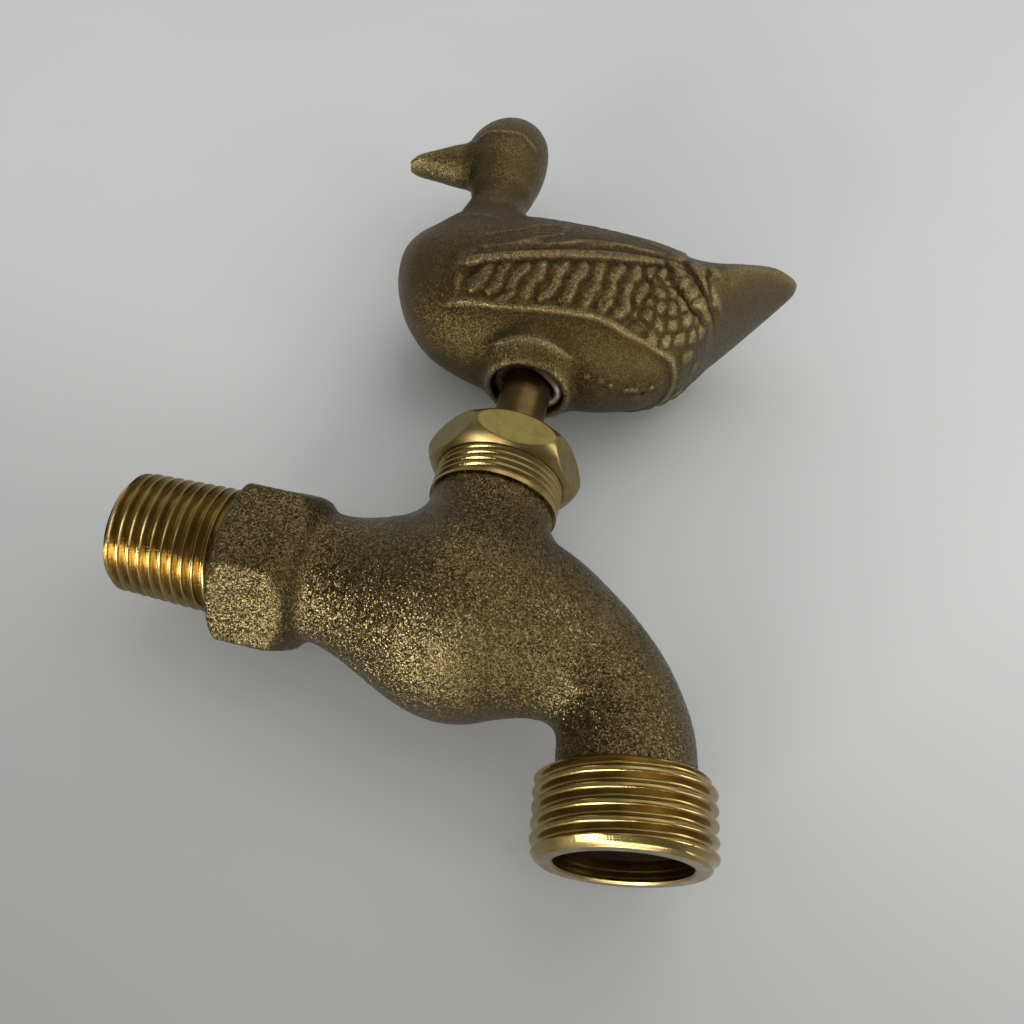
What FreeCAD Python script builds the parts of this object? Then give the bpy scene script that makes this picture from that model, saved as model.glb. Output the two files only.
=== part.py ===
"""Garden tap with a duck-shaped turning handle, drawn closed, in millimetres.

X runs away from the wall and Z runs up along the stem. The origin lies on the inlet's axis, at the front face of the
hexagonal collar, where the inlet thread begins.
"""

import FreeCAD
import Part
import Sketcher

import math
import os
import re

doc = FreeCAD.newDocument("garden_tap")
sheet = doc.addObject("Spreadsheet::Sheet", "Sizes")

# Driving sizes
SIZES = {
    # Inlet and collar
    "inlet_radius": 10.4,
    "inlet_length": 18.9,
    "inlet_end_radius": 9.1,
    "inlet_first_crest": 0.7,
    "inlet_pitch": 1.8143,
    "inlet_thread_depth": 1.0,
    "inlet_crest_flat": 0.25,
    "inlet_bore_radius": 6.9,
    "inlet_bore_depth": 40.1,
    "collar_across_flats": 25.4,
    "collar_length": 13.0,
    "collar_drop": 0.9,
    "collar_corner_radius": 15.1,
    "collar_front_radius": 12.9,
    "collar_front_cut": 1.6,
    "collar_rear_radius": 12.2,
    "collar_rear_cut": 2.6,
    # Stem axis, neck and seat
    "stem_axis_distance": 38.4,
    "neck_radius": 11.25,
    "neck_thread_foot": 19.0,
    "neck_top": 29.0,
    "neck_first_crest": 0.6,
    "neck_pitch": 1.25,
    "neck_thread_depth": 0.5,
    "neck_crest_flat": 0.2,
    "neck_cast_radius": 10.7,
    "neck_blend": 4.0,
    "neck_bore_radius": 7.6,
    "packing_shoulder": 25.0,
    "packing_bore_radius": 8.7,
    "seat_level": 0.0,
    "seat_hole_radius": 5.0,
    "seat_lip_radius": 6.8,
    "seat_lip_height": 1.0,
    "valve_room_radius": 8.6,
    "valve_room_top": 12.0,
    "lower_room_length": 10.5,
    "lower_room_width": 9.5,
    "lower_room_height": 5.6,
    "lower_room_level": -10.2,
    "lower_room_offset": 1.0,
    "link_radius": 5.0,
    "link_drop": 29.0,
    "link_length": 21.0,
    "link_level": -1.5,
    # Outlet
    "outlet_reach": 31.8,
    "outlet_level": -34.4,
    "outlet_tilt": 8.0,
    "outlet_radius": 13.4,
    "outlet_length": 12.2,
    "outlet_face_radius": 12.2,
    "outlet_land_radius": 13.2,
    "outlet_first_crest": 0.1,
    "outlet_pitch": 2.2088,
    "outlet_thread_depth": 1.15,
    "outlet_crest_flat": 0.3,
    "outlet_bore_radius": 9.9,
    "outlet_bore_depth": 9.0,
    "outlet_bore_step": 1.6,
    "spout_radius": 10.4,
    # Cap nut
    "nut_foot": 24.8,
    "nut_top": 33.2,
    "nut_across_flats": 24.6,
    "nut_barrel_radius": 14.0,
    "nut_barrel_curve": 6.4,
    "nut_barrel_level": 28.4,
    "nut_rim_radius": 12.3,
    "nut_crown_height": 1.7,
    "nut_crown_radius": 10.2,
    "nut_roof_thick": 2.3,
    "nut_turn": 7.6,
    # Stem and packing
    "stem_radius": 4.7,
    "stem_top": 62.0,
    "stem_thread_radius": 7.5,
    "stem_thread_top": 17.2,
    "stem_edge": 0.8,
    "shaft_clearance": 0.06,
    "part_clearance": 0.15,
    "cut_overlap": 0.5,
    "packing_washer_thick": 1.0,
    "gland_thick": 1.8,
    # Valve
    "seat_washer_thick": 3.2,
    "seat_washer_radius": 6.2,
    "jumper_radius": 6.8,
    "jumper_thick": 2.4,
    "jumper_lip": 1.0,
    "pin_radius": 2.4,
    "pin_length": 9.0,
    "stud_radius": 1.8,
    "stud_tail": 0.8,
    "washer_nut_across_flats": 6.6,
    "washer_nut_thick": 2.2,
    # Duck handle
    "boss_level": 46.3,
    "boss_radius": 7.9,
    "boss_root_radius": 10.4,
    "boss_root_level": 52.0,
    "socket_radius": 7.0,
    "socket_depth": 4.6,
    "socket_gap": 1.4,
    "glue_thick": 1.6,
    "stem_end_gap": 0.4,
}

# Barrel of the casting, from the collar round to the hose thread: place from the stem axis, level, radius, downward tilt
BARREL = {
    "collar_end": (-26.5, -0.6, 11.1, 0.0),
    "waist": (-20.0, -1.0, 11.2, 0.0),
    "swell": (-13.0, -1.7, 13.6, 0.0),
    "belly": (-3.5, -2.1, 16.6, 2.0),
    "shoulder": (8.4, -2.9, 16.1, 14.0),
    "bend": (17.3, -4.7, 12.8, 28.0),
    "turn": (23.6, -8.0, 10.7, 46.0),
    "drop": (28.0, -13.3, 10.2, 68.0),
}

# Waterway from the valve room to the outlet bore, in the same terms
WATERWAY = {
    "leaving_valve": (2.0, 5.2, 6.0, 0.0),
    "over_belly": (11.0, 3.7, 6.1, 14.0),
    "over_bend": (18.2, -0.4, 6.3, 34.0),
    "down_turn": (24.5, -6.3, 6.8, 56.0),
    "down_drop": (28.3, -13.0, 7.4, 75.0),
}

# Duck's body across its length: place from the stem axis, top level, bottom level, half width
DUCK_BODY = {
    "breast_tip": (-32.2, 75.0, 70.0, 2.2),
    "breast_front": (-30.8, 78.1, 65.2, 6.0),
    "breast": (-27.0, 82.1, 58.4, 9.8),
    "breast_full": (-20.0, 86.3, 52.0, 12.8),
    "wing_front": (-8.0, 87.7, 48.0, 14.8),
    "wing_middle": (5.0, 87.8, 47.3, 15.2),
    "wing_rear": (17.0, 86.8, 49.5, 14.8),
    "rump": (27.0, 83.7, 56.0, 14.0),
    "tail_root": (35.0, 82.9, 69.4, 12.6),
    "tail": (42.0, 86.0, 79.4, 8.4),
    "tail_end": (47.0, 88.0, 85.4, 3.4),
    "tail_tip": (48.4, 88.2, 87.0, 1.2),
}

# Duck's neck and head up its height: level, place from the stem axis, half length, half width
DUCK_HEAD = {
    "neck_root": (82.0, -15.5, 10.5, 9.0),
    "neck_low": (90.0, -16.6, 7.8, 7.2),
    "neck_slim": (96.0, -17.4, 6.2, 5.9),
    "jaw": (101.5, -17.8, 7.4, 6.4),
    "cheek": (107.5, -18.8, 9.1, 7.7),
    "brow": (113.0, -19.2, 9.4, 7.9),
    "forehead": (118.3, -19.0, 8.1, 6.7),
    "poll": (122.2, -18.8, 5.3, 4.4),
    "crown": (123.9, -18.8, 1.8, 1.5),
}

# Duck's bill out from the face: place from the stem axis, level, half height, half width
DUCK_BILL = {
    "bill_root": (-23.0, 108.7, 6.0, 5.6),
    "bill_bridge": (-29.5, 107.5, 4.8, 4.6),
    "bill_middle": (-34.0, 106.3, 3.0, 3.7),
    "bill_blade": (-37.6, 105.2, 1.6, 2.9),
    "bill_end": (-39.6, 104.4, 0.8, 1.5),
}

STATION_TERMS = {
    "barrel": (BARREL, ("place", "level", "radius", "tilt")),
    "waterway": (WATERWAY, ("place", "level", "radius", "tilt")),
    "duck_body": (DUCK_BODY, ("place", "top", "bottom", "half_width")),
    "duck_head": (DUCK_HEAD, ("level", "place", "half_length", "half_width")),
    "duck_bill": (DUCK_BILL, ("place", "level", "half_height", "half_width")),
}
for form, (stations, terms) in STATION_TERMS.items():
    for station, values in stations.items():
        for term, value in zip(terms, values):
            SIZES[f"{form}_{station}_{term}"] = value

for row, (name, value) in enumerate(SIZES.items(), start=1):
    sheet.set(f"A{row}", name)
    sheet.set(f"B{row}", repr(value))
    sheet.setAlias(f"B{row}", name)
doc.recompute()

# Levels and places that follow from the driving sizes
FOLLOWS = {
    "jumper_under": "seat_level + seat_washer_thick",
    "jumper_top": "jumper_under + jumper_thick",
    "pin_top": "jumper_top + pin_length",
    "packing_foot": "packing_shoulder + packing_washer_thick",
    "nut_rim_level": "nut_top - nut_crown_height",
    "nut_ceiling": "nut_top - nut_roof_thick",
    "gland_foot": "nut_ceiling - gland_thick",
    "stem_bore_radius": "stem_radius + shaft_clearance",
    "packing_outer": "packing_bore_radius - part_clearance",
    "stem_bore_top": "stem_top + stem_end_gap",
    "glue_foot": "boss_level + socket_gap",
    "outlet_x": "stem_axis_distance + outlet_reach",
    "thread_start_x": "outlet_x - outlet_length * sin(outlet_tilt)",
    "thread_start_z": "outlet_level + outlet_length * cos(outlet_tilt)",
    "bore_start_x": "outlet_x - outlet_bore_depth * sin(outlet_tilt)",
    "bore_start_z": "outlet_level + outlet_bore_depth * cos(outlet_tilt)",
}


def formula(text):
    """Turns a sum of size names into a formula on the sheet."""

    def name(match):
        word = match.group(0)
        if word in FOLLOWS:
            return "(" + formula(FOLLOWS[word]) + ")"
        return f"Sizes.{word}" if word in SIZES else word

    return re.sub(r"[a-z]\w*", name, text)


def read(name):
    return float(sheet.get(name))


def bind(item, **formulas):
    """Ties an object's properties to the sheet; an underscore pair stands for a dot."""
    for place, text in formulas.items():
        item.setExpression(place.replace("__", "."), formula(text))
    return item


def put(item, x="0", z="0", turn=None):
    """Places an object on the middle plane, turned about Y from up (0) through away from the wall (90)."""
    if turn is not None:
        item.Placement = FreeCAD.Placement(FreeCAD.Vector(), FreeCAD.Rotation(FreeCAD.Vector(0, 1, 0), 1))
        bind(item, Placement__Rotation__Angle=turn)
    return bind(item, Placement__Base__x=x, Placement__Base__z=z)


def cylinder(name, radius, length, x="0", z="0", turn=None):
    """A round bar that starts at a place and runs along the direction it is turned to."""
    item = doc.addObject("Part::Cylinder", name)
    bind(item, Radius=radius, Height=length)
    return put(item, x, z, turn)


def cone(name, start_radius, end_radius, length, x="0", z="0", turn=None):
    item = doc.addObject("Part::Cone", name)
    bind(item, Radius1=start_radius, Radius2=end_radius, Height=length)
    return put(item, x, z, turn)


def fuse(name, items):
    item = doc.addObject("Part::MultiFuse", name)
    item.Shapes = items
    return item


def cut(name, base, tool):
    item = doc.addObject("Part::Cut", name)
    item.Base = base
    item.Tool = tool
    return item


def common(name, items):
    item = doc.addObject("Part::MultiCommon", name)
    item.Shapes = items
    return item


def hexagon_bar(name, across_flats, length, x="0", z="0", turn=None):
    item = doc.addObject("Part::Prism", name)
    item.Polygon = 6
    bind(item, Circumradius=f"{across_flats} / 2 / cos(30)", Height=length)
    return put(item, x, z, turn)


def turned(name, outline, x="stem_axis_distance", z="0", turn=None):
    """A lathe-turned piece: a closed outline of (radius, level) corners swept round an axis, such as the stem's."""
    body = doc.addObject("PartDesign::Body", name)
    plane = next(item for item in body.Origin.OriginFeatures if item.Role == "XZ_Plane")
    sketch = body.newObject("Sketcher::SketchObject", name + "_outline")
    sketch.AttachmentSupport = (plane, [""])
    sketch.MapMode = "FlatFace"
    doc.recompute()
    corners = []
    for radius, level in outline:
        across = float(body.evalExpression(formula(radius)))
        up = float(body.evalExpression(formula(level)))
        corners.append(FreeCAD.Vector(across, up, 0))
    count = len(corners)
    for index, corner in enumerate(corners):
        sketch.addGeometry(Part.LineSegment(corner, corners[(index + 1) % count]), False)
    for index in range(count):
        sketch.addConstraint(Sketcher.Constraint("Coincident", index, 2, (index + 1) % count, 1))
    for index, (radius, level) in enumerate(outline):
        if radius == "0":
            sketch.addConstraint(Sketcher.Constraint("PointOnObject", index, 1, -2))
        else:
            number = sketch.addConstraint(Sketcher.Constraint("DistanceX", -1, 1, index, 1, corners[index].x))
            sketch.setExpression(f"Constraints[{number}]", formula(radius))
        number = sketch.addConstraint(Sketcher.Constraint("DistanceY", -1, 1, index, 1, corners[index].y))
        sketch.setExpression(f"Constraints[{number}]", formula(level))
    revolution = body.newObject("PartDesign::Revolution", name + "_turn")
    revolution.Profile = sketch
    revolution.ReferenceAxis = (sketch, ["V_Axis"])
    revolution.Angle = 360.0
    put(body, x, z, turn)
    doc.recompute()
    return body


def thread(limb, start, length, end):
    """Outline of a threaded end: corners at its start, one V groove to each pitch, then corners at its end."""
    crest, pitch, flat = f"{limb}_radius", f"{limb}_pitch", f"{limb}_crest_flat / 2"
    first = f"{limb}_first_crest"
    grooves = math.floor((length - read(first)) / read(pitch))
    corners = list(start)
    for groove in range(grooves):
        if groove:
            corners.append((crest, f"{first} + {groove} * {pitch} + {flat}"))
        corners.append((f"{crest} - {limb}_thread_depth", f"{first} + {groove + 0.5} * {pitch}"))
        corners.append((crest, f"{first} + {groove + 1} * {pitch} - {flat}"))
    return corners + list(end)


def round_loft(name, form, stations, last=()):
    """A smooth tube through round sections that stand on the middle plane."""
    sections = []
    for station in stations:
        size = f"{form}_{station}_"
        ring = doc.addObject("Part::Circle", f"{name}_{station}")
        bind(ring, Radius=size + "radius")
        put(ring, f"stem_axis_distance + {size}place", size + "level", f"90 + {size}tilt")
        sections.append(ring)
    sections.extend(last)
    loft = doc.addObject("Part::Loft", name)
    loft.Sections = sections
    loft.Solid = True
    loft.Ruled = False
    return loft


def oval(centre, normal, half_width, half_other):
    """An oval wire across a limb: its width lies along Y, and it always starts from the same side."""
    side = FreeCAD.Vector(0, -half_width, 0)
    other = FreeCAD.Vector(0, 0, half_other) if normal.x else FreeCAD.Vector(-half_other, 0, 0)
    if half_other >= half_width:
        ellipse = Part.Ellipse(centre + other, centre + side, centre)
        start = 0.0
    else:
        ellipse = Part.Ellipse(centre + side, centre - other, centre)
        start = -math.pi / 2
    return Part.Wire([Part.ArcOfEllipse(ellipse, start, start + 2 * math.pi).toShape()])


def duck_loft(name, wires):
    item = doc.addObject("Part::Feature", name)
    item.Shape = Part.makeLoft(wires, True, False)
    put(item, "stem_axis_distance")
    return item


# Casting, outside
spout_end = doc.addObject("Part::Circle", "spout_end")
bind(spout_end, Radius="spout_radius")
put(spout_end, "thread_start_x", "thread_start_z", "180 - outlet_tilt")
barrel = round_loft("barrel", "barrel", BARREL, [spout_end])
inlet_run = "inlet_length + collar_length / 2"
inlet = turned(
    "inlet",
    thread(
        "inlet",
        [
            ("0", "0"),
            ("inlet_end_radius", "0"),
            ("inlet_end_radius + inlet_first_crest", "inlet_first_crest"),
        ],
        read("inlet_length"),
        [("inlet_radius", inlet_run), ("0", inlet_run)],
    ),
    "0 - inlet_length",
    turn="90",
)
collar_level = "0 - collar_drop"
collar_bar = hexagon_bar(
    "collar_bar", "collar_across_flats", "collar_length", z=collar_level, turn="90"
)
collar_front = cone(
    "collar_front",
    "collar_front_radius",
    "collar_corner_radius",
    "collar_front_cut",
    z=collar_level,
    turn="90",
)
collar_middle = cylinder(
    "collar_middle",
    "collar_corner_radius",
    "collar_length - collar_front_cut - collar_rear_cut",
    "collar_front_cut",
    collar_level,
    "90",
)
collar_rear = cone(
    "collar_rear",
    "collar_corner_radius",
    "collar_rear_radius",
    "collar_rear_cut",
    "collar_length - collar_rear_cut",
    collar_level,
    "90",
)
collar_blank = fuse("collar_blank", [collar_front, collar_middle, collar_rear])
collar = common("collar", [collar_bar, collar_blank])
neck_cast = cylinder("neck_cast", "neck_cast_radius", "neck_thread_foot", "stem_axis_distance")
neck_run = "neck_top - neck_thread_foot"
neck_thread = turned(
    "neck_thread",
    thread(
        "neck",
        [
            ("0", "0"),
            ("neck_radius", "0"),
            ("neck_radius", "neck_first_crest + neck_crest_flat / 2"),
        ],
        read("neck_top") - read("neck_thread_foot"),
        [("neck_radius", neck_run), ("0", neck_run)],
    ),
    z="neck_thread_foot",
)
outlet_corners = thread(
    "outlet",
    [
        ("0", "0"),
        ("outlet_radius", "0"),
        ("outlet_radius", "outlet_first_crest + outlet_crest_flat / 2"),
    ],
    read("outlet_length"),
    [("outlet_face_radius", "outlet_length"), ("0", "outlet_length")],
)
outlet_corners[-3] = ("outlet_land_radius", outlet_corners[-3][1])
outlet = turned(
    "outlet", outlet_corners, "thread_start_x", "thread_start_z", "180 - outlet_tilt"
)

# Where the neck meets the barrel, the casting runs round in a hollow blend
limbs = fuse("limbs", [barrel, neck_cast])
doc.recompute()
blended = []
for number, edge in enumerate(limbs.Shape.Edges, start=1):
    middle = edge.valueAt((edge.FirstParameter + edge.LastParameter) / 2)
    reach = math.hypot(middle.x - read("stem_axis_distance"), middle.y)
    on_neck = abs(reach - read("neck_cast_radius")) < read("shaft_clearance")
    if on_neck and edge.Curve.TypeId not in ("Part::GeomLine", "Part::GeomCircle"):
        blended.append((number, read("neck_blend"), read("neck_blend")))
blended_limbs = doc.addObject("Part::Fillet", "blended_limbs")
blended_limbs.Base = limbs
blended_limbs.Edges = blended
casting = fuse("casting", [blended_limbs, collar, inlet, neck_thread, outlet])

# Casting, waterway
inlet_bore = cylinder(
    "inlet_bore", "inlet_bore_radius", "inlet_bore_depth", "0 - inlet_length", turn="90"
)
link = cylinder(
    "link",
    "link_radius",
    "link_length",
    "inlet_bore_depth - inlet_length - link_radius",
    "link_level",
    "90 + link_drop",
)
lower_room = doc.addObject("Part::Ellipsoid", "lower_room")
bind(lower_room, Radius1="lower_room_height", Radius2="lower_room_length", Radius3="lower_room_width")
put(lower_room, "stem_axis_distance - lower_room_offset", "lower_room_level")
seat_hole = cylinder(
    "seat_hole",
    "seat_hole_radius",
    "seat_level - lower_room_level + cut_overlap",
    "stem_axis_distance",
    "lower_room_level",
)
valve_room = cylinder(
    "valve_room",
    "valve_room_radius",
    "valve_room_top - seat_level + seat_lip_height",
    "stem_axis_distance",
    "seat_level - seat_lip_height",
)
neck_bore = cylinder("neck_bore", "neck_bore_radius", "neck_top + cut_overlap", "stem_axis_distance")
packing_bore = cylinder(
    "packing_bore",
    "packing_bore_radius",
    "neck_top - packing_shoulder + cut_overlap",
    "stem_axis_distance",
    "packing_shoulder",
)
bore_top = doc.addObject("Part::Circle", "bore_top")
bind(bore_top, Radius="outlet_bore_radius - outlet_bore_step")
put(
    bore_top,
    "bore_start_x + cut_overlap * sin(outlet_tilt)",
    "bore_start_z - cut_overlap * cos(outlet_tilt)",
    "180 - outlet_tilt",
)
waterway = round_loft("waterway", "waterway", WATERWAY, [bore_top])
outlet_bore = cylinder(
    "outlet_bore",
    "outlet_bore_radius",
    "outlet_bore_depth + cut_overlap",
    "bore_start_x",
    "bore_start_z",
    "180 - outlet_tilt",
)
upper_water = fuse("upper_water", [valve_room, neck_bore, packing_bore, waterway, outlet_bore])
seat_lip = cylinder(
    "seat_lip",
    "seat_lip_radius",
    "seat_lip_height + cut_overlap",
    "stem_axis_distance",
    "seat_level - seat_lip_height - cut_overlap",
)
upper_room = cut("upper_room", upper_water, seat_lip)
lower_water = fuse("lower_water", [inlet_bore, link, lower_room, seat_hole])
hollow_casting = cut("hollow_casting", casting, upper_room)
tap_body = cut("tap_body", hollow_casting, lower_water)

# Cap nut with six milled flats
nut_bar = hexagon_bar("nut_bar", "nut_across_flats", "nut_top - nut_foot", "stem_axis_distance", "nut_foot")
nut_bar.Placement.Rotation = FreeCAD.Rotation(FreeCAD.Vector(0, 0, 1), 1)
bind(nut_bar, Placement__Rotation__Angle="nut_turn")
nut_barrel = doc.addObject("Part::Ellipsoid", "nut_barrel")
bind(nut_barrel, Radius1="nut_barrel_curve", Radius2="nut_barrel_radius", Radius3="nut_barrel_radius")
put(nut_barrel, "stem_axis_distance", "nut_barrel_level")
nut_waist = cylinder(
    "nut_waist", "nut_barrel_radius", "nut_rim_level - nut_foot", "stem_axis_distance", "nut_foot"
)
nut_middle = common("nut_middle", [nut_barrel, nut_waist])
nut_crown = cone(
    "nut_crown",
    "nut_rim_radius",
    "nut_crown_radius",
    "nut_top - nut_rim_level",
    "stem_axis_distance",
    "nut_rim_level",
)
nut_round = fuse("nut_round", [nut_middle, nut_crown])
nut_solid = common("nut_solid", [nut_round, nut_bar])
nut_room = cylinder(
    "nut_room",
    "neck_radius + part_clearance",
    "nut_ceiling - nut_foot + cut_overlap",
    "stem_axis_distance",
    "nut_foot - cut_overlap",
)
nut_hole = cylinder(
    "nut_hole", "stem_bore_radius + part_clearance", "nut_top", "stem_axis_distance", "nut_foot"
)
nut_hollow = fuse("nut_hollow", [nut_room, nut_hole])
cap_nut = cut("cap_nut", nut_solid, nut_hollow)

# Packing, from its seat upward: brass washer, rope ring and brass gland
packing_washer = turned(
    "packing_washer",
    [
        ("stem_bore_radius", "packing_shoulder"),
        ("packing_outer", "packing_shoulder"),
        ("packing_outer", "packing_foot"),
        ("stem_bore_radius", "packing_foot"),
    ],
)
packing_ring = turned(
    "packing_ring",
    [
        ("stem_bore_radius", "packing_foot"),
        ("packing_outer", "packing_foot"),
        ("packing_outer", "gland_foot"),
        ("stem_bore_radius", "gland_foot"),
    ],
)
gland_ring = turned(
    "gland_ring",
    [
        ("stem_bore_radius", "gland_foot"),
        ("packing_outer", "gland_foot"),
        ("packing_outer", "nut_ceiling"),
        ("stem_bore_radius", "nut_ceiling"),
    ],
)

# Stem: threaded foot with a blind hole for the jumper's pin, and a plain shaft up into the handle
stem = turned(
    "stem",
    [
        ("pin_radius + shaft_clearance", "jumper_top"),
        ("stem_thread_radius - stem_edge", "jumper_top"),
        ("stem_thread_radius", "jumper_top + stem_edge"),
        ("stem_thread_radius", "stem_thread_top - stem_edge"),
        ("stem_thread_radius - stem_edge", "stem_thread_top"),
        ("stem_radius", "stem_thread_top"),
        ("stem_radius", "stem_top - stem_edge"),
        ("stem_radius - stem_edge", "stem_top"),
        ("0", "stem_top"),
        ("0", "pin_top + stem_edge"),
        ("pin_radius + shaft_clearance", "pin_top + part_clearance"),
    ],
)

# Jumper: loose valve plate with a guide pin above and a stud below
jumper = turned(
    "jumper",
    [
        ("0", "seat_level - washer_nut_thick - stud_tail"),
        ("stud_radius", "seat_level - washer_nut_thick - stud_tail"),
        ("stud_radius", "jumper_under"),
        ("seat_washer_radius + part_clearance", "jumper_under"),
        ("seat_washer_radius + part_clearance", "jumper_under - jumper_lip"),
        ("jumper_radius", "jumper_under - jumper_lip"),
        ("jumper_radius", "jumper_top"),
        ("pin_radius", "jumper_top"),
        ("pin_radius", "pin_top - stem_edge"),
        ("pin_radius - stem_edge", "pin_top"),
        ("0", "pin_top"),
    ],
)
seat_washer = turned(
    "seat_washer",
    [
        ("stud_radius", "seat_level"),
        ("seat_washer_radius", "seat_level"),
        ("seat_washer_radius", "jumper_under"),
        ("stud_radius", "jumper_under"),
    ],
)
washer_nut_bar = hexagon_bar(
    "washer_nut_bar",
    "washer_nut_across_flats",
    "washer_nut_thick",
    "stem_axis_distance",
    "seat_level - washer_nut_thick",
)
washer_nut_hole = cylinder(
    "washer_nut_hole",
    "stud_radius",
    "washer_nut_thick + 2 * cut_overlap",
    "stem_axis_distance",
    "seat_level - washer_nut_thick - cut_overlap",
)
washer_nut = cut("washer_nut", washer_nut_bar, washer_nut_hole)

# Duck handle: cast body, neck with head, bill, and the boss that takes the stem
ALONG_X = FreeCAD.Vector(1, 0, 0)
ALONG_Z = FreeCAD.Vector(0, 0, 1)
body_wires = []
for station in DUCK_BODY:
    size = f"duck_body_{station}_"
    top, bottom = read(size + "top"), read(size + "bottom")
    centre = FreeCAD.Vector(read(size + "place"), 0, (top + bottom) / 2)
    body_wires.append(oval(centre, ALONG_X, read(size + "half_width"), (top - bottom) / 2))
head_wires = []
for station in DUCK_HEAD:
    size = f"duck_head_{station}_"
    centre = FreeCAD.Vector(read(size + "place"), 0, read(size + "level"))
    head_wires.append(oval(centre, ALONG_Z, read(size + "half_width"), read(size + "half_length")))
bill_wires = []
for station in reversed(DUCK_BILL):
    size = f"duck_bill_{station}_"
    centre = FreeCAD.Vector(read(size + "place"), 0, read(size + "level"))
    bill_wires.append(oval(centre, ALONG_X, read(size + "half_width"), read(size + "half_height")))
duck_body = duck_loft("duck_body", body_wires)
duck_head = duck_loft("duck_head", head_wires)
duck_bill = duck_loft("duck_bill", bill_wires)
boss_foot = cone(
    "boss_foot",
    "boss_radius",
    "boss_root_radius",
    "boss_root_level - boss_level",
    "stem_axis_distance",
    "boss_level",
)
boss_root = cylinder(
    "boss_root",
    "boss_root_radius",
    "stem_bore_top - boss_root_level",
    "stem_axis_distance",
    "boss_root_level",
)
duck = fuse("duck", [duck_body, duck_head, duck_bill, boss_foot, boss_root])
stem_bore = cylinder(
    "stem_bore", "stem_bore_radius", "stem_bore_top - boss_level", "stem_axis_distance", "boss_level"
)
socket = cylinder(
    "socket",
    "socket_radius",
    "socket_depth + cut_overlap",
    "stem_axis_distance",
    "boss_level - cut_overlap",
)
handle_hollow = fuse("handle_hollow", [stem_bore, socket])
duck_handle = cut("duck_handle", duck, handle_hollow)

# Glue bead that locks the handle on the stem, inside the socket
glue_bead = turned(
    "glue_bead",
    [
        ("stem_bore_radius", "glue_foot"),
        ("socket_radius - shaft_clearance", "glue_foot + glue_thick / 2"),
        ("socket_radius - shaft_clearance", "glue_foot + glue_thick"),
        ("stem_bore_radius", "glue_foot + glue_thick"),
    ],
)

PIECES = {
    "tap_body": tap_body,
    "cap_nut": cap_nut,
    "packing_washer": packing_washer,
    "packing_ring": packing_ring,
    "gland_ring": gland_ring,
    "stem": stem,
    "jumper": jumper,
    "seat_washer": seat_washer,
    "washer_nut": washer_nut,
    "duck_handle": duck_handle,
    "glue_bead": glue_bead,
}
doc.recompute()
for item in doc.Objects:
    if {"Invalid", "Error"} & set(item.State):
        raise RuntimeError(f"{item.Label} failed: {item.State}")
for node, item in PIECES.items():
    item.Label = node
    if item.Shape.isNull() or not item.Shape.isValid():
        raise RuntimeError(f"{node} has no valid shape")

os.makedirs("parts", exist_ok=True)
for node, item in PIECES.items():
    item.Shape.exportStep(f"parts/{node}.step")
    print(node, len(item.Shape.Solids), round(item.Shape.Volume), "mm3")
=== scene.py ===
"""Looks of a garden tap whose handle is a cast duck, dressed over its packed construction."""

import math

import bmesh
import bpy
import numpy as np
from mathutils import Matrix, Vector


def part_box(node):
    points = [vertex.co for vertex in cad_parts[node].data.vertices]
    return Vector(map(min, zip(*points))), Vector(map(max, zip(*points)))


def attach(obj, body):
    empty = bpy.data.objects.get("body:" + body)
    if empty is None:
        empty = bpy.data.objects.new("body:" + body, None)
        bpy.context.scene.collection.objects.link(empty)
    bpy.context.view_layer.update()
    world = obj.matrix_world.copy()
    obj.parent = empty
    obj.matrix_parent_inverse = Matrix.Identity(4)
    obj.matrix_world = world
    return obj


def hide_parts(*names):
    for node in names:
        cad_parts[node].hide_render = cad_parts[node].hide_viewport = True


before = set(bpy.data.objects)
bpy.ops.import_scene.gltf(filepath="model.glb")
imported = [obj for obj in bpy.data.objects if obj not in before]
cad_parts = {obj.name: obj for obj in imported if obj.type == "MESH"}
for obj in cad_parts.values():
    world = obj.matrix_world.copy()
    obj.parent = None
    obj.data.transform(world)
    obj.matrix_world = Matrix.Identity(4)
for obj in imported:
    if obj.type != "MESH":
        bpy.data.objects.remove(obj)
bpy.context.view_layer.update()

# Tap body: one sand-cast bronze casting with a hexagonal collar, a round belly round the
# seat, a neck for the cap nut and a spout that bends down. Its skin is dark and grainy.
# Shapes are drawn in millimetres from the point where the stem's axis crosses the inlet's.
stem_low, stem_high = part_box("stem")
stem_axis_x = (stem_low.x + stem_high.x) / 2
collar_face = -38.4
collar_back = -25.4
collar_half_flats = 12.7
collar_drop = 0.9
collar_corner_round = 0.7
collar_end_round = 0.5
collar_front_rim = 12.7
collar_front_slope = 1.2
collar_back_rim = 12.0
collar_back_slope = 0.95
neck_radius = 10.7
neck_top = 19.3
neck_blend = 4.5
collar_blend = 2.5
inlet_bore_radius = 6.9
inlet_bore_end = -17.2
outlet_centre = np.array([31.8, 0.0, -34.4])
outlet_tilt = math.radians(8)
outlet_axis = np.array([math.sin(outlet_tilt), 0.0, -math.cos(outlet_tilt)])
outlet_bore_depth = 9.0
tap_centre = (0, 0, 0)
inlet_way = (1, 0, 0)
upwards = (0, 0, 1)
casting_grid = 0.45
casting_scatter = 0.022
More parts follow.
